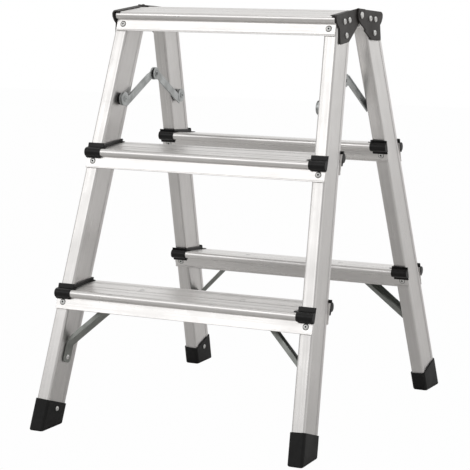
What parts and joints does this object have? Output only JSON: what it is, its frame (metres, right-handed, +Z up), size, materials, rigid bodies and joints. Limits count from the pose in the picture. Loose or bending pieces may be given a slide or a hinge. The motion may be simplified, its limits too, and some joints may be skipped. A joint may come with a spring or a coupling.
{
  "type": "step ladder",
  "caption": "Low folding double-sided step ladder with wide treads, two leaning frames hinged at the top and a folding stay on each side.",
  "frame": {"origin": "on the floor, midway between the feet of the open ladder", "axes": "+Z up, +X along the treads to the right, +Y from the front frame to the rear frame"},
  "size_m": [0.4756, 0.5974, 0.6656],
  "materials": {
    "aluminium": "satin mill finish with fine extrusion lines",
    "black_plastic": "fine matt moulding",
    "rubber": "matt",
    "dark_steel": "charcoal powder coat, fine texture",
    "zinc_steel": "dull zinc plate"
  },
  "bodies": {
    "front_frame": {"front_bottom_tread": "aluminium", "front_left_bottom_end_cap": "black_plastic", "front_left_corner_brace": "zinc_steel", "front_left_foot": "rubber", "front_left_foot_rivet": "zinc_steel", "front_left_hinge_plate": "dark_steel", "front_left_middle_end_cap": "black_plastic", "front_left_plate_rivet_1": "zinc_steel", "front_left_plate_rivet_2": "zinc_steel", "front_left_plate_rivet_3": "zinc_steel", "front_left_stay_pivot": "zinc_steel", "front_left_stile": "aluminium", "front_middle_tread": "aluminium", "front_right_bottom_end_cap": "black_plastic", "front_right_corner_brace": "zinc_steel", "front_right_foot": "rubber", "front_right_foot_rivet": "zinc_steel", "front_right_hinge_plate": "dark_steel", "front_right_middle_end_cap": "black_plastic", "front_right_plate_rivet_1": "zinc_steel", "front_right_plate_rivet_2": "zinc_steel", "front_right_plate_rivet_3": "zinc_steel", "front_right_stay_pivot": "zinc_steel", "front_right_stile": "aluminium", "front_top_tread": "aluminium"},
    "rear_frame": {"left_hinge_pin": "zinc_steel", "rear_bottom_tread": "aluminium", "rear_left_bottom_end_cap": "black_plastic", "rear_left_corner_brace": "zinc_steel", "rear_left_foot": "rubber", "rear_left_foot_rivet": "zinc_steel", "rear_left_hinge_plate": "dark_steel", "rear_left_middle_end_cap": "black_plastic", "rear_left_plate_rivet_1": "zinc_steel", "rear_left_plate_rivet_2": "zinc_steel", "rear_left_plate_rivet_3": "zinc_steel", "rear_left_stay_pivot": "zinc_steel", "rear_left_stile": "aluminium", "rear_middle_tread": "aluminium", "rear_right_bottom_end_cap": "black_plastic", "rear_right_corner_brace": "zinc_steel", "rear_right_foot": "rubber", "rear_right_foot_rivet": "zinc_steel", "rear_right_hinge_plate": "dark_steel", "rear_right_middle_end_cap": "black_plastic", "rear_right_plate_rivet_1": "zinc_steel", "rear_right_plate_rivet_2": "zinc_steel", "rear_right_plate_rivet_3": "zinc_steel", "rear_right_stay_pivot": "zinc_steel", "rear_right_stile": "aluminium", "rear_top_tread": "aluminium", "right_hinge_pin": "zinc_steel"},
    "left_front_stay": {"front_left_stay": "zinc_steel", "left_stay_rivet": "zinc_steel"},
    "right_front_stay": {"front_right_stay": "zinc_steel", "right_stay_rivet": "zinc_steel"},
    "left_rear_stay": {"rear_left_stay": "zinc_steel"},
    "right_rear_stay": {"rear_right_stay": "zinc_steel"}
  },
  "joints": [
    {"name": "fold", "type": "hinge", "parent": "front_frame", "child": "rear_frame", "pos_m": [0, 0, 0.6545], "axis": [-1, 0, 0], "range_deg": [0, 36.5]},
    {"name": "left_front_stay_pivot", "type": "hinge", "parent": "front_frame", "child": "left_front_stay", "pos_m": [-0.172, -0.101, 0.515], "axis": [1, 0, 0], "range_deg": [0, 21.4]},
    {"name": "left_rear_stay_pivot", "type": "hinge", "parent": "rear_frame", "child": "left_rear_stay", "pos_m": [-0.174, 0.099, 0.508], "axis": [-1, 0, 0], "range_deg": [0, 23.7]},
    {"name": "right_front_stay_pivot", "type": "hinge", "parent": "front_frame", "child": "right_front_stay", "pos_m": [0.172, -0.101, 0.515], "axis": [1, 0, 0], "range_deg": [0, 21.4]},
    {"name": "right_rear_stay_pivot", "type": "hinge", "parent": "rear_frame", "child": "right_rear_stay", "pos_m": [0.174, 0.099, 0.508], "axis": [-1, 0, 0], "range_deg": [0, 23.7]}
  ],
  "couplings": [
    {"joint": "left_front_stay_pivot", "follows": "fold", "ratio": 0.5805},
    {"joint": "left_rear_stay_pivot", "follows": "fold", "ratio": 0.6433},
    {"joint": "right_front_stay_pivot", "follows": "fold", "ratio": 0.5805},
    {"joint": "right_rear_stay_pivot", "follows": "fold", "ratio": 0.6433}
  ]
}
